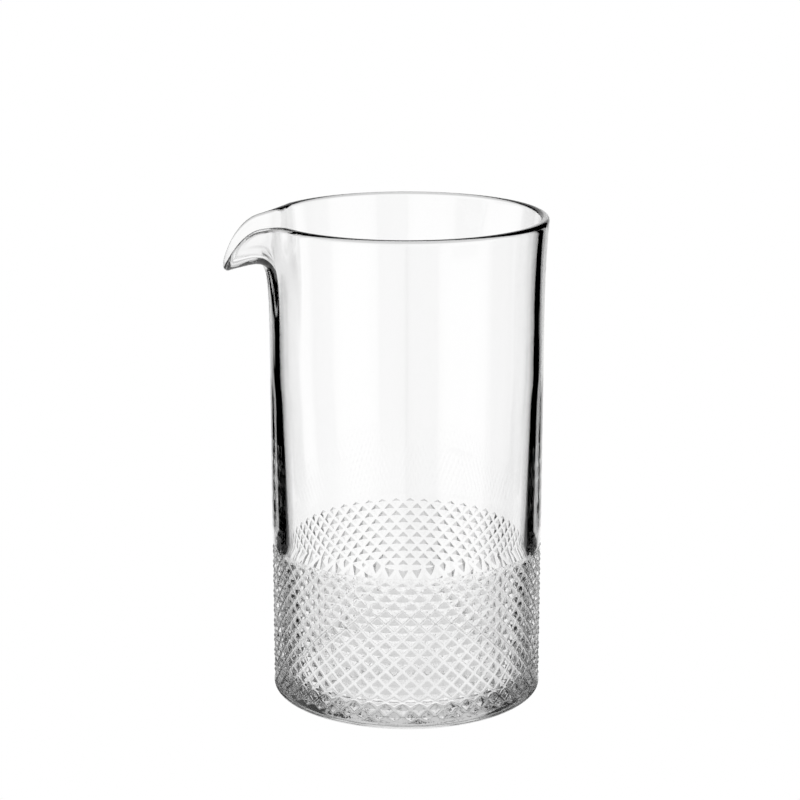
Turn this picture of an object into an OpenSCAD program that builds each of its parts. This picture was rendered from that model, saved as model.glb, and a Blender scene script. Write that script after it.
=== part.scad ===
// Mixing glass: a straight-sided crystal beaker with a solid base, a band of cut diamonds
// round its lower third, a plain wall with a fire-polished rim, and one drawn pouring lip.
// The axis is Z, the glass stands on z = 0, and the lip points along -X.

/* [Body] */
// Outside diameter of the plain wall
wall_d = 89.8; // [84:0.2:96]
// Height of the rim above the table
total_h = 160; // [150:1:170]
// Thickness of the wall along the straight stretch of the bore
wall_t = 3.2; // [2.8:0.1:3.6]
// Thickness of the wall where it meets the floor
low_wall_t = 6.4; // [5.5:0.1:7.5]
// Height of the straight stretch of the bore, just under the flare
straight_h = 12; // [8:1:20]
// Thickness of the glass at the rim
rim_t = 2.8; // [2.4:0.1:3.2]
// How far the rim flares beyond the plain wall, on the radius
rim_flare = 1.4; // [0.8:0.1:2]
// Height over which the rim flares and the lip is drawn out
flare_h = 42; // [38:1:46]

/* [Base] */
// Thickness of the solid floor
floor_t = 6; // [5:0.5:9]
// Radius of the inside corner between floor and wall
corner_r = 3; // [2.5:0.5:5]
// Height of the plain polished ring under the cuts
foot_ring_h = 1.4; // [1.4:0.1:2.4]
// Radius of the polished edge that the glass stands on
foot_edge_r = 1; // [0.8:0.1:1.3]

/* [Cut band] */
// Number of diamonds round the glass
diamonds = 52; // [40:2:60]
// Number of half rows of diamonds, from the foot ring to the plain wall
half_rows = 19; // [15:2:21]
// Height of one diamond
diamond_h = 5.25; // [4.8:0.05:5.4]
// Depth of the cuts below the tips of the diamonds
cut_depth = 0.7; // [0.5:0.1:1]

/* [Pouring lip] */
// Half of the angle of wall that is drawn out into the lip
lip_half_angle = 36; // [32:1:38]
// Distance from the axis to the middle of the lip's edge
lip_reach = 58.2; // [55:0.2:60]
// Drop of the lip's edge below the rim
lip_drop = 14.3; // [12:0.1:16]
// Distance from the axis to the shoulders of the lip
shoulder_reach = 47; // [46.5:0.1:48]
// Half of the width between the shoulders
shoulder_half_w = 14; // [13:0.1:15]
// Drop of the shoulders below the rim
shoulder_drop = 1.4; // [1:0.1:2]

/* [Hidden] */
glass = [0.86, 0.9, 0.92, 0.45];

wall_r = wall_d / 2;
top_bore_r = wall_r - wall_t;
low_bore_r = wall_r - low_wall_t;
floor_r = low_bore_r - corner_r;
corner_top = floor_t + corner_r;
mid_r = wall_r - wall_t / 2;
band_top = foot_ring_h + half_rows * diamond_h / 2;

// The wall's middle surface ends at the rim, half a rim thickness below the top
rim_mid_r = mid_r + rim_flare;
rim_mid_z = total_h - rim_t / 2;
lip_z = total_h - flare_h;
taper_z = lip_z - straight_h;

// Lengths of the handles of the curves that shape the rim and the lip
rim_handle = 14;
rim_lean = 1.4;
throat_rise = 34;
tongue_handle = 14;
tongue_dip = 16;
shoulder_handle = 8;
tip_handle = 13;
shoulder_turn = [0.93, -0.37, -0.2];

// Steps across the lip, up the lip, and round the rolled edge
lip_steps = 32;
rise_steps = 14;
roll_steps = 6;
profile_steps = 12;
slope_step = 0.01;

function unit(v) = v / norm(v);
function mix(a, b, k) = a + (b - a) * k;

// Below its straight stretch the bore narrows steadily down to the corner above the floor
function bore_r(z) = mix(low_bore_r, top_bore_r, (z - corner_top) / (taper_z - corner_top));
function bezier(p, t) =
    pow(1 - t, 3) * p[0] + 3 * pow(1 - t, 2) * t * p[1] + 3 * (1 - t) * t * t * p[2] + t * t * t * p[3];
function bezier_slope(p, t) =
    3 * pow(1 - t, 2) * (p[1] - p[0]) + 6 * (1 - t) * t * (p[2] - p[1]) + 3 * t * t * (p[3] - p[2]);

// Place across the lip: -1 and 1 are where it leaves the rim, 0 is the middle of the spout.
// Draw is 1 in the middle and falls away smoothly to 0 on both sides.
function draw(a) = pow(cos(90 * a), 2);
function outward(a) = [cos(a * lip_half_angle), sin(a * lip_half_angle), 0];

// Right half of the lip's edge: from the rim to the shoulder, then from the shoulder to the tip
rim_leave = [rim_mid_r * cos(lip_half_angle), rim_mid_r * sin(lip_half_angle), rim_mid_z];
rim_turn = [sin(lip_half_angle), -cos(lip_half_angle), 0];
leave_handle = rim_mid_r * lip_half_angle * PI / 180 / 6;
shoulder = [shoulder_reach, shoulder_half_w, rim_mid_z - shoulder_drop];
tip = [lip_reach, 0, rim_mid_z - lip_drop];
edge_side = [
    rim_leave,
    rim_leave + leave_handle * rim_turn,
    shoulder - shoulder_handle * unit(shoulder_turn),
    shoulder
];
edge_front = [
    shoulder,
    shoulder + shoulder_handle * unit(shoulder_turn),
    tip + [0, tip_handle, 0],
    tip
];
function half_edge(b) =
    b > 0.5 ? bezier(edge_side, 2 - 2 * b) : bezier(edge_front, 1 - 2 * b);
function lip_edge(a) = a < 0
    ? [half_edge(-a)[0], -half_edge(-a)[1], half_edge(-a)[2]]
    : half_edge(a);

// Middle line of the glass up the wall and out to the edge, at one place across the lip
function edge_rise(a) = mix(atan2(rim_handle, rim_lean), -tongue_dip, pow(draw(a), 2.25));
function lip_line(a) =
    let (
        base = mid_r * outward(a) + [0, 0, lip_z],
        end = lip_edge(a),
        rise = edge_rise(a),
        heading = cos(rise) * outward(a) + [0, 0, sin(rise)]
    )
    [
        base,
        base + [0, 0, mix(rim_handle, throat_rise, pow(draw(a), 0.75))],
        end - mix(rim_handle, tongue_handle, draw(a)) * heading,
        end
    ];

// Direction across the glass, from the bore outwards
function lip_normal(a, s) =
    let (
        up = bezier_slope(lip_line(a), s),
        across = abs(a) == 1
            ? [-sin(a * lip_half_angle), cos(a * lip_half_angle), 0]
            : bezier(lip_line(a + slope_step), s) - bezier(lip_line(a - slope_step), s)
    )
    unit(cross(across, up));
function glass_t(s) = mix(wall_t, rim_t, s * s);
function lip_skin(a, s, side) = bezier(lip_line(a), s) + side * glass_t(s) / 2 * lip_normal(a, s);

// One cross-section of the lip: up the outside, over the rolled edge and down the inside
function lip_section(a) = [
    for (i = [0 : rise_steps]) lip_skin(a, i / rise_steps, 1),
    for (i = [1 : roll_steps - 1])
        lip_edge(a) + rim_t / 2 * (
            cos(180 * i / roll_steps) * lip_normal(a, 1)
            + sin(180 * i / roll_steps) * unit(bezier_slope(lip_line(a), 1))
        ),
    for (i = [rise_steps : -1 : 0]) lip_skin(a, i / rise_steps, -1)
];
// The plain rim is the lip's own section at its side, so that the two meet face to face
function flat_section(a) = [for (p = lip_section(a)) [norm([p[0], p[1]]), p[2]]];

// Point of the cut surface: tips and valleys take turns round the glass and up it
function on_cut(column, row) =
    let (
        turn = 180 * column / diamonds,
        valley = (column + row) % 2 == 1 && row > 0 && row < half_rows,
        r = wall_r - (valley ? cut_depth : 0)
    )
    [r * cos(turn), r * sin(turn), foot_ring_h + row * diamond_h / 2];

// The polished ring that the glass stands on, and the flat floor above it
module foot() {
    color(glass)
        rotate_extrude($fn = 180)
            polygon([
                [0, 0],
                [wall_r - foot_edge_r, 0],
                for (a = [-75 : 15 : 0])
                    [wall_r - foot_edge_r + foot_edge_r * cos(a), foot_edge_r + foot_edge_r * sin(a)],
                [wall_r, foot_ring_h],
                [floor_r, foot_ring_h],
                [floor_r, floor_t],
                [0, floor_t]
            ]);
}

// Inside of the cut band, from its top down round the corner to the floor's edge
lining = [
    [bore_r(band_top), band_top],
    for (a = [0 : -15 : -90]) [floor_r + corner_r * cos(a), corner_top + corner_r * sin(a)],
    [floor_r, foot_ring_h]
];

// The cut skin going up, then the lining going down, closed into one ring of quads
module cut_band() {
    columns = 2 * diamonds;
    rings = half_rows + 1 + len(lining);
    skin_points = [for (row = [0 : half_rows], column = [0 : columns - 1]) on_cut(column, row)];
    lining_points = [
        for (p = lining, column = [0 : columns - 1])
            [p[0] * cos(180 * column / diamonds), p[0] * sin(180 * column / diamonds), p[1]]
    ];
    quads = [
        for (ring = [0 : rings - 1], column = [0 : columns - 1])
            let (
                next = (column + 1) % columns,
                above = (ring + 1) % rings,
                a = ring * columns + column,
                b = ring * columns + next,
                c = above * columns + next,
                d = above * columns + column,
                along_valley = ring < half_rows && (column + ring) % 2 == 1
            )
            each along_valley ? [[a, c, b], [a, d, c]] : [[a, d, b], [b, d, c]]
    ];
    color(glass)
        polyhedron(points = concat(skin_points, lining_points), faces = quads);
}

// Plain wall and rim in one turned profile, open where the lip stands
module wall() {
    gap_reach = 2 * wall_r;
    color(glass)
        difference() {
            rotate_extrude($fn = 180)
                polygon(concat(
                    [[top_bore_r, taper_z], [bore_r(band_top), band_top], [wall_r, band_top]],
                    flat_section(1)
                ));
            translate([0, 0, lip_z])
                linear_extrude(height = total_h)
                    polygon([
                        [0, 0],
                        [-gap_reach, gap_reach * tan(lip_half_angle)],
                        [-gap_reach, -gap_reach * tan(lip_half_angle)]
                    ]);
        }
}

module pouring_lip() {
    sections = [for (i = [0 : lip_steps]) lip_section(2 * i / lip_steps - 1)];
    per_section = len(sections[0]);
    points = [for (section = sections) each section];
    last = lip_steps * per_section;
    sides = [
        for (i = [0 : lip_steps - 1], j = [0 : per_section - 1])
            let (
                next = (j + 1) % per_section,
                a = i * per_section + j,
                b = i * per_section + next,
                c = (i + 1) * per_section + next,
                d = (i + 1) * per_section + j
            )
            each [[a, b, c], [a, c, d]]
    ];
    ends = [
        for (j = [0 : floor(per_section / 2) - 1])
            let (
                out_a = j,
                out_b = j + 1,
                in_a = per_section - 1 - j,
                in_b = per_section - 2 - j
            )
            each concat(
                [[out_a, in_a, out_b]],
                out_b == in_b ? [] : [[out_b, in_a, in_b]],
                [[last + out_a, last + out_b, last + in_a]],
                out_b == in_b ? [] : [[last + out_b, last + in_b, last + in_a]]
            )
    ];
    color(glass)
        rotate([0, 0, 180])
            polyhedron(points = points, faces = concat(sides, ends));
}

foot();
cut_band();
wall();
pouring_lip();
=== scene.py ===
"""The mixing glass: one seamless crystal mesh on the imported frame, in a plain pale studio."""

import math

import bpy
import numpy as np
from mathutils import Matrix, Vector


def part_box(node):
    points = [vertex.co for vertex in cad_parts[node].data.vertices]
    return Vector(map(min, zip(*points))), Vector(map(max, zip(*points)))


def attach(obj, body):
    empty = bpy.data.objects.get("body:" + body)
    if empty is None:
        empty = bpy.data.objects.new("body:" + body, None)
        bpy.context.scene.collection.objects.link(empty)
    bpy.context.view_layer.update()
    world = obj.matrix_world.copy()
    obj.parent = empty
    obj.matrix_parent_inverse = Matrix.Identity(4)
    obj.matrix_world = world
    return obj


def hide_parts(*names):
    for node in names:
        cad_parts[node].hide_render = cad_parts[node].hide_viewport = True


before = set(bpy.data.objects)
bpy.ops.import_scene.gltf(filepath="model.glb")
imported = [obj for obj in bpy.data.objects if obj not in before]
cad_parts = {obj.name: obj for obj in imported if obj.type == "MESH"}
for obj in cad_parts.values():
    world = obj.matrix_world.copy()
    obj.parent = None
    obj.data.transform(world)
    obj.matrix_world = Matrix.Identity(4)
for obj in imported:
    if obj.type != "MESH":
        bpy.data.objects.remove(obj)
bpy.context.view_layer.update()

MM = 0.001

# ---------------------------------------------------------------- sizes, in millimetres


def corners(node):
    """The lowest and the highest corner of a CAD node."""
    return [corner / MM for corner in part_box(node)]


band_low, band_high = corners("cut_band")
wall_high = corners("wall")[1]
foot_high = corners("foot")[1]
lip_low = corners("pouring_lip")[0]

TOTAL_H = 160.0
LIP_Z = lip_low.z
FOOT_RING_H = band_low.z
BAND_TOP = band_high.z
FLOOR_T = foot_high.z

# The wall: its thickness along the straight stretch of the bore, and where it meets the floor
WALL_R = band_high.x
WALL_T = 3.2
LOW_WALL_T = 6.4
MID_R = WALL_R - WALL_T / 2
TOP_BORE_R = WALL_R - WALL_T
LOW_BORE_R = WALL_R - LOW_WALL_T
STRAIGHT_H = 12.0
TAPER_Z = LIP_Z - STRAIGHT_H

# The base: the edge that the glass stands on, and the inside corner above the floor
FOOT_EDGE_R = 1.0
CORNER_R = 3.0
FLOOR_R = LOW_BORE_R - CORNER_R
CORNER_TOP = FLOOR_T + CORNER_R

# The rim. The CAD's rolled edges are faceted, and these allowances fit the smooth ones to their
# boxes.
RIM_T = 2.8
RIM_ALLOWANCE = 0.02
TIP_ALLOWANCE = 0.01
RIM_MID_R = wall_high.y - RIM_T / 2 + RIM_ALLOWANCE
RIM_MID_Z = TOTAL_H - RIM_T / 2

# The cut diamonds: how many go round, how many half rows go up, and how deep the cuts are. The
# groove's flat bottom is a share of a half diamond. Sides with a rounding above 1 bulge a little.
DIAMONDS = 52
HALF_ROWS = 19
CUT_DEPTH = 0.7
GROOVE_FLAT = 0.22
SIDE_ROUNDING = 1.1

# The pouring lip, as the CAD draws it out of the wall. It is drawn out along +X here, and the
# whole skin is turned round to -X at the end.
LIP_HALF_ANGLE = math.radians(36)
LIP_REACH = -lip_low.x - RIM_T / 2 + TIP_ALLOWANCE
LIP_DROP = 14.3
SHOULDER_DROP = 1.4
SHOULDER = np.array([47.0, 14.0, RIM_MID_Z - SHOULDER_DROP])
SHOULDER_TURN = np.array([0.93, -0.37, -0.2])
TONGUE_DIP = math.radians(16)
# Handles of the curves that shape the rim and the lip
RIM_HANDLE = 14.0
RIM_LEAN = 1.4
THROAT_RISE = 34.0
TONGUE_HANDLE = 14.0
SHOULDER_HANDLE = 8.0
TIP_HANDLE = 13.0
# How sharply the dip and the throat's rise gather towards the middle of the lip
DIP_POWER = 2.25
THROAT_POWER = 0.75

# How finely the glass is divided
STEPS_PER_HALF = 8
COLUMNS = 2 * DIAMONDS * STEPS_PER_HALF
WALL_ROWS = 16
RISE_ROWS = 44
ROLL_ROWS = 12
CORNER_ROWS = 9
FOOT_EDGE_ROWS = 6
# The flat underside and floor have rings from their edge in to this radius, and a fan inside that
FAN_R = 6.0
UNDERSIDE_ROWS = 7
FLOOR_ROWS = 6
# Step in angle for taking slopes across the lip
SLOPE_STEP = 1e-3
SHARP_ANGLE = math.radians(30)


def lerp(a, b, k):
    return a + (b - a) * k


def unit(v):
    return v / np.linalg.norm(v, axis=-1, keepdims=True)


def bezier(p, t):
    return (
        (1 - t) ** 3 * p[0] + 3 * (1 - t) ** 2 * t * p[1] + 3 * (1 - t) * t**2 * p[2] + t**3 * p[3]
    )


def bezier_slope(p, t):
    return (
        3 * (1 - t) ** 2 * (p[1] - p[0])
        + 6 * (1 - t) * t * (p[2] - p[1])
        + 3 * t**2 * (p[3] - p[2])
    )


# ---------------------------------------------------------------- camera

CAMERA_SIDE = -5.2
CAMERA_DISTANCE = 729.5
CAMERA_HEIGHT = 289.7
CAMERA_PITCH = math.radians(14.72)
CAMERA_AIM_OFF = math.radians(0.175)
CAMERA_LENS = 102.9
CAMERA_SENSOR = 36.0


def make_camera():
    data = bpy.data.cameras.new("camera")
    data.sensor_width = CAMERA_SENSOR
    data.lens = CAMERA_LENS
    camera = bpy.data.objects.new("camera", data)
    bpy.context.scene.collection.objects.link(camera)
    side = math.radians(CAMERA_SIDE)
    camera.location = Vector(
        (CAMERA_DISTANCE * math.sin(side), -CAMERA_DISTANCE * math.cos(side), CAMERA_HEIGHT)
    ) * MM
    camera.rotation_euler = (math.pi / 2 - CAMERA_PITCH, 0, side + CAMERA_AIM_OFF)
    bpy.context.scene.camera = camera


# ---------------------------------------------------------------- the shape of the glass


def outward(angle):
    return np.stack([np.cos(angle), np.sin(angle), np.zeros_like(angle)], -1)


def draw(place):
    """1 in the middle of the lip, falling smoothly to 0 where it leaves the rim."""
    return np.cos(np.clip(np.abs(place), 0, 1) * math.pi / 2) ** 2


def lip_edge(angle):
    """The middle of the rim's glass, at an angle from the lip's direction."""
    place = np.abs(angle) / LIP_HALF_ANGLE
    leave_handle = RIM_MID_R * LIP_HALF_ANGLE / 6
    leave = np.array([math.cos(LIP_HALF_ANGLE), math.sin(LIP_HALF_ANGLE), 0]) * RIM_MID_R
    leave[2] = RIM_MID_Z
    turn = np.array([math.sin(LIP_HALF_ANGLE), -math.cos(LIP_HALF_ANGLE), 0])
    aim = unit(SHOULDER_TURN)
    tip = np.array([LIP_REACH, 0, RIM_MID_Z - LIP_DROP])
    side = [leave, leave + leave_handle * turn, SHOULDER - SHOULDER_HANDLE * aim, SHOULDER]
    front = [SHOULDER, SHOULDER + SHOULDER_HANDLE * aim, tip + np.array([0, TIP_HANDLE, 0]), tip]
    along_side = bezier(side, np.clip(2 - 2 * place, 0, 1)[..., None])
    along_front = bezier(front, np.clip(1 - 2 * place, 0, 1)[..., None])
    edge = np.where((place > 0.5)[..., None], along_side, along_front)
    edge[..., 1] *= np.where(angle < 0, -1, 1)
    plain = RIM_MID_R * outward(angle)
    plain[..., 2] = RIM_MID_Z
    return np.where((place >= 1)[..., None], plain, edge)


def rise_line(angle):
    """Handles of the curve that the middle of the glass follows from the wall to the edge."""
    place = angle / LIP_HALF_ANGLE
    drawn = draw(place)[..., None]
    up = np.array([0.0, 0.0, 1.0])
    base = MID_R * outward(angle) + LIP_Z * up
    end = lip_edge(angle)
    rise = lerp(math.atan2(RIM_HANDLE, RIM_LEAN), -TONGUE_DIP, drawn**DIP_POWER)
    heading = np.cos(rise) * outward(angle) + np.sin(rise) * up
    return [
        base,
        base + lerp(RIM_HANDLE, THROAT_RISE, drawn**THROAT_POWER) * up,
        end - lerp(RIM_HANDLE, TONGUE_HANDLE, drawn) * heading,
        end,
    ]


def lip_skin(angle, s):
    """Middle of the glass, its way up and its direction outwards, over angles by steps s."""
    a = angle[None, :]
    t = s[:, None, None]
    here = rise_line(a)
    middle = bezier(here, t)
    up = unit(bezier_slope(here, t))
    across = bezier(rise_line(a + SLOPE_STEP), t) - bezier(rise_line(a - SLOPE_STEP), t)
    return middle, up, unit(np.cross(across, up))


def cut_depth(columns, rows):
    """Depth of the crossing grooves at half-diamond coordinates; 0 on the tips of the diamonds."""
    height = 1.0
    for across in (columns + rows, columns - rows):
        from_groove = np.abs((across % 2) - 1)
        up_side = np.clip((from_groove - GROOVE_FLAT) / (1 - GROOVE_FLAT), 0, 1)
        height = np.minimum(height, 1 - (1 - up_side) ** SIDE_ROUNDING)
    return CUT_DEPTH * (1 - height)


def bore_r(z):
    """Straight under the flare, then narrowing steadily down to the corner above the floor."""
    return lerp(LOW_BORE_R, TOP_BORE_R, min((z - CORNER_TOP) / (TAPER_Z - CORNER_TOP), 1.0))


def turned(profile, angle):
    """Rings of points from (radius, height) pairs."""
    profile = np.asarray(profile, float)
    rings = profile[:, 0, None, None] * outward(angle)[None]
    rings[..., 2] = profile[:, 1, None]
    return rings


def glass_rings():
    """The skin's rings: from the underside up the outside, over the rim and down to the floor.

    Also gives the numbers of the first and the last ring of the cut band.
    """
    angle = np.arange(COLUMNS) * 2 * math.pi / COLUMNS
    lip_angle = (angle + math.pi) % (2 * math.pi) - math.pi

    edge_turns = np.linspace(-math.pi / 2, 0, FOOT_EDGE_ROWS + 1)
    foot = [(r, 0.0) for r in np.linspace(FAN_R, WALL_R - FOOT_EDGE_R, UNDERSIDE_ROWS + 1)[:-1]]
    foot += [
        (WALL_R - FOOT_EDGE_R * (1 - math.cos(t)), FOOT_EDGE_R * (1 + math.sin(t)))
        for t in edge_turns
    ]
    rings = [turned(foot, angle)]

    half = np.arange(HALF_ROWS * STEPS_PER_HALF + 1) / STEPS_PER_HALF
    column = np.arange(COLUMNS) / STEPS_PER_HALF
    depth = cut_depth(column[None, :], half[:, None])
    edge = np.minimum(half, HALF_ROWS - half)[:, None]
    depth = np.minimum(depth, CUT_DEPTH * edge)
    heights = FOOT_RING_H + half * (BAND_TOP - FOOT_RING_H) / HALF_ROWS
    band = (WALL_R - depth)[..., None] * outward(angle)[None]
    band[..., 2] = heights[:, None]
    rings.append(band)
    band_rows = (rings[0].shape[0], rings[0].shape[0] + len(half) - 1)

    wall_heights = np.linspace(BAND_TOP, LIP_Z, WALL_ROWS + 1)[1:-1]
    rings.append(turned([(WALL_R, z) for z in wall_heights], angle))

    s = np.linspace(0, 1, RISE_ROWS + 1)
    middle, up, out = lip_skin(lip_angle, s)
    half_t = lerp(WALL_T, RIM_T, s**2)[:, None, None] / 2
    rings.append(middle + half_t * out)
    roll = np.linspace(0, math.pi, ROLL_ROWS + 1)[1:-1, None, None]
    rings.append(middle[-1] + RIM_T / 2 * (np.cos(roll) * out[-1] + np.sin(roll) * up[-1]))
    rings.append((middle - half_t * out)[::-1])

    inner_heights = np.linspace(LIP_Z, CORNER_TOP, 2 * WALL_ROWS + 1)[1:-1]
    inner = [(bore_r(z), z) for z in inner_heights]
    corner_turns = np.linspace(0, -math.pi / 2, CORNER_ROWS + 1)
    inner += [
        (FLOOR_R + CORNER_R * math.cos(t), FLOOR_T + CORNER_R * (1 + math.sin(t)))
        for t in corner_turns
    ]
    inner += [(r, FLOOR_T) for r in np.linspace(FLOOR_R, FAN_R, FLOOR_ROWS + 1)[1:]]
    rings.append(turned(inner, angle))
    skin = np.concatenate(rings)
    # The rings above run round from the lip's direction, +X; the lip itself points along -X
    skin[..., :2] *= -1
    return skin, band_rows


def skin_faces(ring_count, band_first, band_last):
    """Corners of the plain faces, of the cut triangles, and of the fans that close both ends."""
    row, column = np.meshgrid(np.arange(ring_count - 1), np.arange(COLUMNS), indexing="ij")
    following = (column + 1) % COLUMNS
    a = row * COLUMNS + column
    b = row * COLUMNS + following
    c = (row + 1) * COLUMNS + following
    d = (row + 1) * COLUMNS + column
    in_band = (row >= band_first) & (row < band_last)
    cell = column // STEPS_PER_HALF + (row - band_first) // STEPS_PER_HALF
    leaning = cell % 2 == 0
    plain = np.stack([a, b, c, d], -1)[~in_band]
    back = in_band & leaning
    forward = in_band & ~leaning
    cut = np.concatenate(
        [
            np.stack([a, b, d], -1)[back],
            np.stack([b, c, d], -1)[back],
            np.stack([a, b, c], -1)[forward],
            np.stack([a, c, d], -1)[forward],
        ]
    )
    ring = np.arange(COLUMNS)
    ahead = (ring + 1) % COLUMNS
    last_ring = (ring_count - 1) * COLUMNS
    under_middle = ring_count * COLUMNS
    floor_middle = under_middle + 1
    fans = np.concatenate(
        [
            np.stack([ahead, ring, np.full(COLUMNS, under_middle)], -1),
            np.stack([last_ring + ring, last_ring + ahead, np.full(COLUMNS, floor_middle)], -1),
        ]
    )
    return plain.tolist(), cut.tolist(), fans.tolist()


def make_glass():
    skin, (band_first, band_last) = glass_rings()
    middles = [[0, 0, skin[0, 0, 2]], [0, 0, skin[-1, 0, 2]]]
    points = np.concatenate([skin.reshape(-1, 3), middles])
    plain, cut, fans = skin_faces(len(skin), band_first, band_last)
    faces = [*plain, *cut, *fans]
    mesh = bpy.data.meshes.new("glass")
    mesh.from_pydata((points * MM).tolist(), [], faces)
    mesh.update()
    slots = np.zeros(len(faces), np.int32)
    slots[len(plain) : len(plain) + len(cut)] = 1
    mesh.polygons.foreach_set("material_index", slots)
    mesh.shade_smooth()
    mesh.set_sharp_from_angle(angle=SHARP_ANGLE)
    glass = bpy.data.objects.new("mixing_glass", mesh)
    bpy.context.scene.collection.objects.link(glass)
    return glass


# ---------------------------------------------------------------- materials


class Nodes:
    """Shorthand for wiring one node tree."""

    def __init__(self, tree):
        self.tree = tree

    def add(self, kind, inputs=(), **settings):
        node = self.tree.nodes.new(kind)
        for key, value in settings.items():
            setattr(node, key, value)
        for key, value in dict(inputs).items():
            if isinstance(value, bpy.types.NodeSocket):
                self.tree.links.new(value, node.inputs[key])
            else:
                node.inputs[key].default_value = value
        return node

    def math(self, operation, *values):
        return self.add("ShaderNodeMath", enumerate(values), operation=operation).outputs[0]

    def ramp(self, value, stops):
        """A colour ramp over (place, brightness) stops in the value's own units."""
        low, high = stops[0][0], stops[-1][0]
        scaled = self.math("DIVIDE", self.math("SUBTRACT", value, low), high - low)
        node = self.add("ShaderNodeValToRGB", {0: scaled})
        elements = node.color_ramp.elements
        while len(elements) < len(stops):
            elements.new(0.5)
        for element, (place, tone) in zip(elements, stops):
            element.position = (place - low) / (high - low)
            element.color = (tone, tone, tone, 1)
        return node.outputs[0]


CRYSTAL_IOR = 1.52
# Polished by fire: clear, with long shallow waves. Scales are per metre, and depths in millimetres.
PLAIN_WAVE_SCALE = 55.0
PLAIN_WAVE_DEPTH = 0.03
PLAIN_ROUGHNESS = (0.0, 0.012)
# Cut and then polished with acid: short uneven waves
CUT_WAVE_SCALE = 620.0
CUT_WAVE_DEPTH = 0.05
CUT_ROUGHNESS = (0.0, 0.025)
WAVE_DETAIL = 2.0
# The patches of faint haze on both, and the stretch of the noise over which the polish gets worse
HAZE_SCALE = 140.0
HAZE_DETAIL = 4.0
HAZE_GRAIN = 0.6
HAZE_RANGE = (0.4, 0.75)


def crystal(name, wave_scale, wave_depth, roughness):
    """Clear glass whose polish and surface vary a little from place to place."""
    material = bpy.data.materials.new(name)
    material.use_nodes = True
    nodes = Nodes(material.node_tree)
    place = nodes.add("ShaderNodeTexCoord").outputs["Object"]
    waves = nodes.add(
        "ShaderNodeTexNoise", {"Vector": place, "Scale": wave_scale, "Detail": WAVE_DETAIL}
    ).outputs["Fac"]
    surface = nodes.add(
        "ShaderNodeBump", {"Height": waves, "Distance": wave_depth * MM, "Strength": 1.0}
    )
    haze = nodes.add(
        "ShaderNodeTexNoise",
        {"Vector": place, "Scale": HAZE_SCALE, "Detail": HAZE_DETAIL, "Roughness": HAZE_GRAIN},
    ).outputs["Fac"]
    polish = nodes.add(
        "ShaderNodeMapRange",
        {
            "Value": haze,
            "From Min": HAZE_RANGE[0],
            "From Max": HAZE_RANGE[1],
            "To Min": roughness[0],
            "To Max": roughness[1],
        },
    )
    shader = material.node_tree.nodes["Principled BSDF"]
    shader.inputs["Base Color"].default_value = (1, 1, 1, 1)
    shader.inputs["Transmission Weight"].default_value = 1.0
    shader.inputs["IOR"].default_value = CRYSTAL_IOR
    material.node_tree.links.new(polish.outputs["Result"], shader.inputs["Roughness"])
    material.node_tree.links.new(surface.outputs["Normal"], shader.inputs["Normal"])
    return material


# ---------------------------------------------------------------- studio

FLOOR_RADIUS = 6000.0
FLOOR_SIDES = 96
FLOOR_DROP = 0.02


def make_floor():
    """A plain pale floor just under the glass, which neither reflects it nor shows it through."""
    bpy.ops.mesh.primitive_circle_add(
        vertices=FLOOR_SIDES, radius=FLOOR_RADIUS * MM, fill_type="NGON"
    )
    floor = bpy.context.object
    floor.name = "floor"
    floor.location.z = -FLOOR_DROP * MM
    material = bpy.data.materials.new("floor")
    material.use_nodes = True
    tree = material.node_tree
    tree.nodes.clear()
    out = tree.nodes.new("ShaderNodeOutputMaterial")
    glow = tree.nodes.new("ShaderNodeEmission")
    glow.inputs["Strength"].default_value = 1.0
    tree.links.new(glow.outputs[0], out.inputs["Surface"])
    floor.data.materials.append(material)
    floor.visible_transmission = False
    floor.visible_glossy = False


# Dark flags round the light tent. Each has a start and an end on the compass, a lowest and a
# highest height above the horizon, and a brightness. Angles are in degrees. The compass is 0
# along +Y, and grows towards +X.
FLAGS = (
    (-48.0, -18.0, -27.0, -14.0, 0.0),
    (-50.0, -23.5, -27.0, 70.0, 0.0),
    (-90.0, -23.5, 2.0, 70.0, 0.0),
    (31.5, 58.0, -27.0, -13.5, 0.0),
    (34.0, 60.0, -27.0, 70.0, 0.0),
    (34.0, 100.0, 2.0, 70.0, 0.0),
    (85.0, 110.0, -26.0, 20.0, 0.3),
    (160.0, 185.0, -26.0, 20.0, 0.3),
    (-130.0, -106.0, -8.0, 20.0, 0.3),
)
# How much faster the light comes back above and below a flag than beside it
PAST_FLAG = 3.0
# Brightness against the angle outside a flag's edge
BESIDE_FLAG = ((0.0, 0.0), (1.2, 0.5), (3.0, 0.8), (8.0, 0.95), (14.0, 1.0))
# How many degrees wider the flags get on each side, below the given height, each time that the
# glass reflects the light once more, and how many times that happens at most
FLAG_SPREAD = 13.0
SPREAD_BELOW = -5.0
MOST_SPREADS = 2.0
# Brightness of the tent against the height above the horizon
UP_TENT = (
    (-90.0, 1.0),
    (-62.0, 1.0),
    (-48.0, 0.6),
    (-29.0, 0.75),
    (-24.0, 1.0),
    (-9.0, 1.0),
    (-4.0, 0.9),
    (15.0, 0.65),
    (50.0, 0.5),
    (90.0, 0.4),
)


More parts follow.
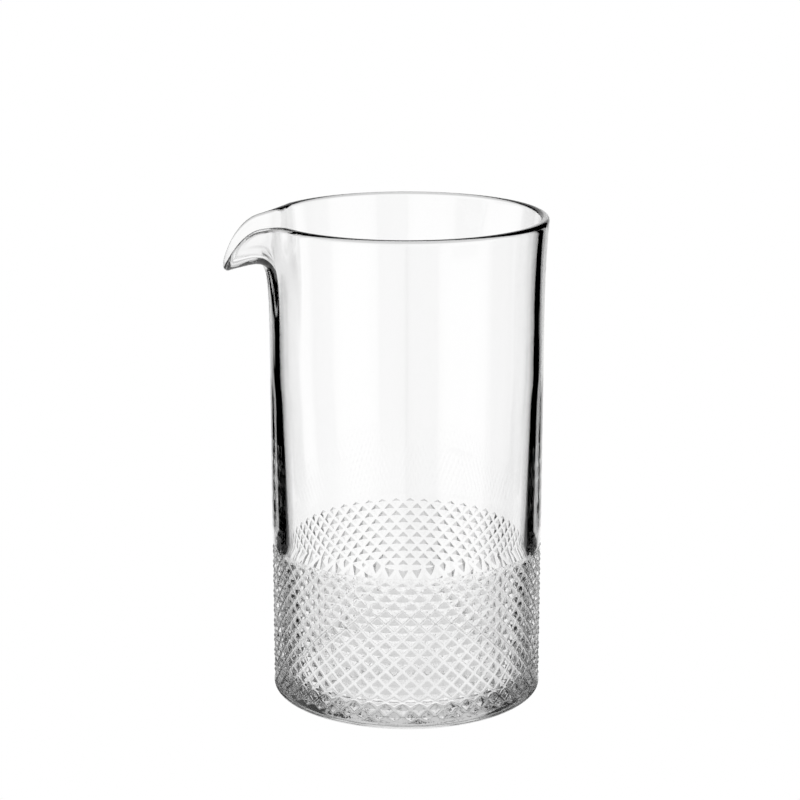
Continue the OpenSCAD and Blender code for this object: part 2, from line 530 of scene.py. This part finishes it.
def make_world():
    """White for the camera, and a light tent with dark flags for all that the glass shows."""
    world = bpy.data.worlds.new("studio")
    world.use_nodes = True
    bpy.context.scene.world = world
    world.node_tree.nodes.clear()
    nodes = Nodes(world.node_tree)
    direction = nodes.add("ShaderNodeTexCoord").outputs["Generated"]
    x, y, z = nodes.add("ShaderNodeSeparateXYZ", {0: direction}).outputs
    compass = nodes.math("DEGREES", nodes.math("ARCTAN2", x, y))
    height = nodes.math("DEGREES", nodes.math("ARCSINE", z))
    tone = nodes.ramp(height, UP_TENT)
    path = nodes.add("ShaderNodeLightPath").outputs
    # Only light that the glass reflects comes from the flags: they draw the dark edges that crystal
    # shows against white, and don't show through its clear wall
    unflagged = nodes.math("SUBTRACT", 1.0, nodes.math("MINIMUM", path["Glossy Depth"], 1.0))
    again = nodes.math("MAXIMUM", nodes.math("SUBTRACT", path["Glossy Depth"], 1.0), 0.0)
    wider = nodes.math("MULTIPLY", nodes.math("MINIMUM", again, MOST_SPREADS), FLAG_SPREAD)
    wider = nodes.math("MULTIPLY", wider, nodes.math("LESS_THAN", height, SPREAD_BELOW))
    for start, end, lowest, highest, brightness in FLAGS:
        turned_from = nodes.math("SUBTRACT", compass, (start + end) / 2)
        turned_from = nodes.math("ABSOLUTE", nodes.math("WRAP", turned_from, 180.0, -180.0))
        beside = nodes.math("SUBTRACT", turned_from, (end - start) / 2)
        beside = nodes.math("SUBTRACT", beside, wider)
        raised_from = nodes.math("ABSOLUTE", nodes.math("SUBTRACT", height, (lowest + highest) / 2))
        past = nodes.math("SUBTRACT", raised_from, (highest - lowest) / 2)
        outside = nodes.math("MAXIMUM", beside, nodes.math("MULTIPLY", past, PAST_FLAG))
        lit = nodes.math("MAXIMUM", nodes.ramp(outside, BESIDE_FLAG), brightness)
        tone = nodes.math("MULTIPLY", tone, nodes.math("MAXIMUM", lit, unflagged))
    strength = nodes.math("MAXIMUM", tone, path["Is Camera Ray"])
    background = nodes.add("ShaderNodeBackground", {"Strength": strength})
    nodes.add("ShaderNodeOutputWorld", {"Surface": background.outputs[0]})
    background.inputs["Color"].default_value = (1, 1, 1, 1)


MAX_BOUNCES = 32
GLOSSY_BOUNCES = 16

make_camera()
glass = make_glass()
glass.data.materials.append(
    crystal("polished_crystal", PLAIN_WAVE_SCALE, PLAIN_WAVE_DEPTH, PLAIN_ROUGHNESS)
)
glass.data.materials.append(crystal("cut_crystal", CUT_WAVE_SCALE, CUT_WAVE_DEPTH, CUT_ROUGHNESS))
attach(glass, "root")
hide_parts("foot", "cut_band", "wall", "pouring_lip")
make_floor()
make_world()

scene = bpy.context.scene
scene.view_settings.view_transform = "Standard"
scene.cycles.max_bounces = MAX_BOUNCES
scene.cycles.transmission_bounces = MAX_BOUNCES
scene.cycles.glossy_bounces = GLOSSY_BOUNCES
